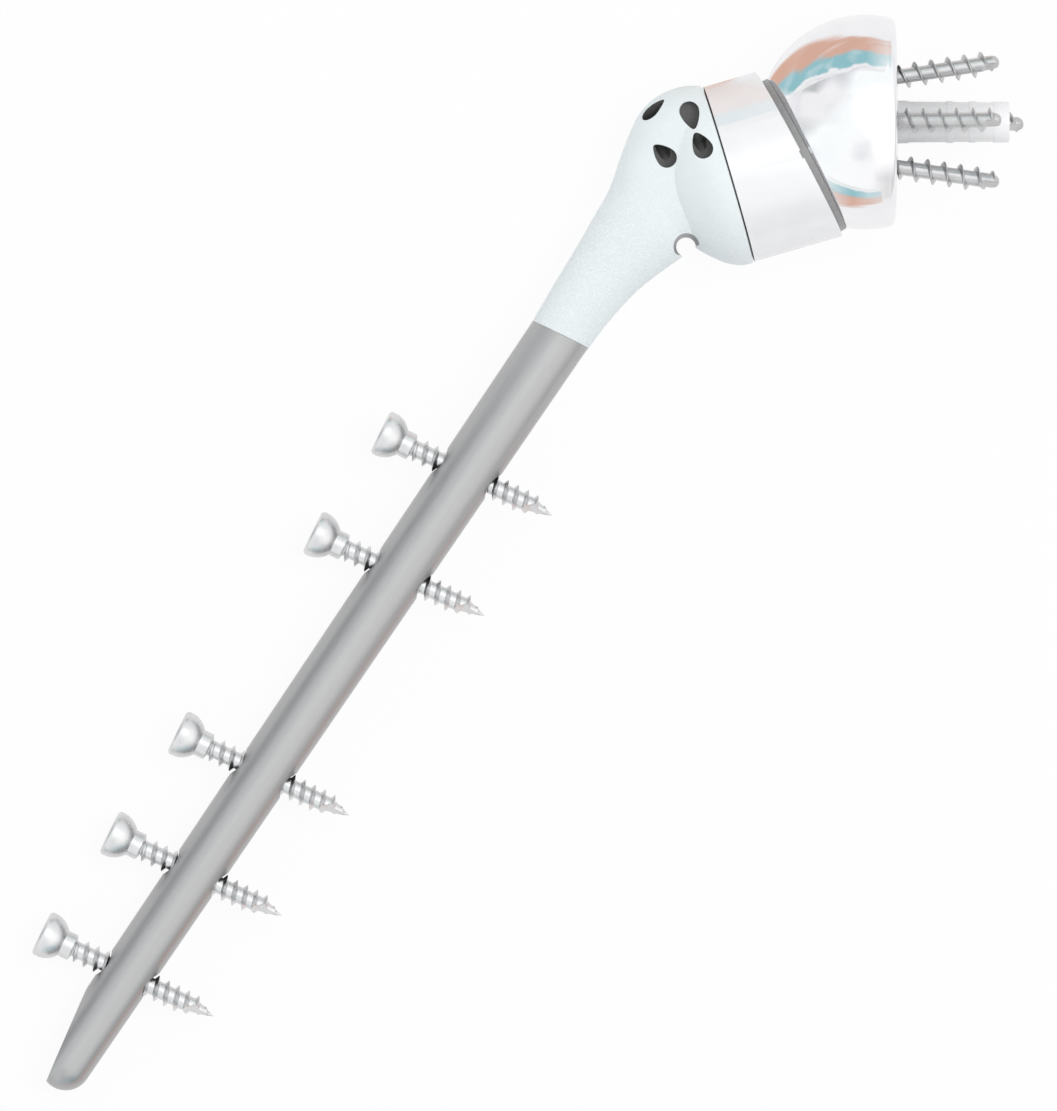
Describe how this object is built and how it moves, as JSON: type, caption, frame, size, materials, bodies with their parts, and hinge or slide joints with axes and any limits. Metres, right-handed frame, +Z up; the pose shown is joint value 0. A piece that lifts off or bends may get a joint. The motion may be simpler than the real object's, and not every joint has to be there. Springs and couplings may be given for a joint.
{
  "type": "long-stem reversed shoulder prosthesis",
  "caption": "Reversed shoulder prosthesis: long humeral stem with cross screws, tray and liner, and a polished ball with its baseplate, cage and screws.",
  "frame": {"origin": "bottom centre of the box of the part, on the table it lies on", "axes": "+X up the stem from its tip towards the shoulder, as seen from above; +Z up from the table, near the front of the shoulder; +Y towards the outer side of the arm, where the cross screws' heads are"},
  "size_m": [0.2438, 0.0662, 0.038],
  "materials": {
    "stem_metal": "satin shaft, fine-grained pale coating on the proximal body",
    "polished_alloy": "mirror polished",
    "fastener_metal": "satin",
    "liner_plastic": "smooth, slightly glossy",
    "screw_metal": "bright turned metal",
    "plate_metal": "pale satin"
  },
  "bodies": {
    "humeral_side": {"humeral_stem": "stem_metal", "humeral_tray": "polished_alloy", "tray_bolt": "fastener_metal", "cross_screw_1": "screw_metal", "cross_screw_2": "screw_metal", "cross_screw_3": "screw_metal", "cross_screw_4": "screw_metal", "cross_screw_5": "screw_metal"},
    "liner": {"humeral_liner": "liner_plastic"},
    "ball": {"glenosphere": "polished_alloy", "glenosphere_bolt": "fastener_metal"},
    "glenoid_side": {"glenoid_baseplate": "plate_metal", "baseplate_screw_superior": "screw_metal", "baseplate_screw_inferior": "screw_metal", "baseplate_screw_anterior": "screw_metal", "baseplate_screw_posterior": "screw_metal", "screw_cap_superior": "fastener_metal", "screw_cap_inferior": "fastener_metal", "screw_cap_anterior": "fastener_metal", "screw_cap_posterior": "fastener_metal"}
  },
  "joints": [
    {"name": "arm_rotation", "type": "hinge", "parent": "humeral_side", "child": "liner", "pos_m": [0.09952, -0.0077, 0.01906], "axis": [0.8798, -0.4644, 0.1016], "range_deg": [-40, 40]},
    {"name": "abduction", "type": "hinge", "parent": "liner", "child": "ball", "pos_m": [0.09952, -0.0077, 0.01906], "axis": [-0.0497, 0.1228, 0.9912], "range_deg": [-25, 75]},
    {"name": "flexion", "type": "hinge", "parent": "ball", "child": "glenoid_side", "pos_m": [0.09952, -0.0077, 0.01906], "axis": [0.5548, -0.8218, 0.1296], "range_deg": [-60, 60]}
  ]
}
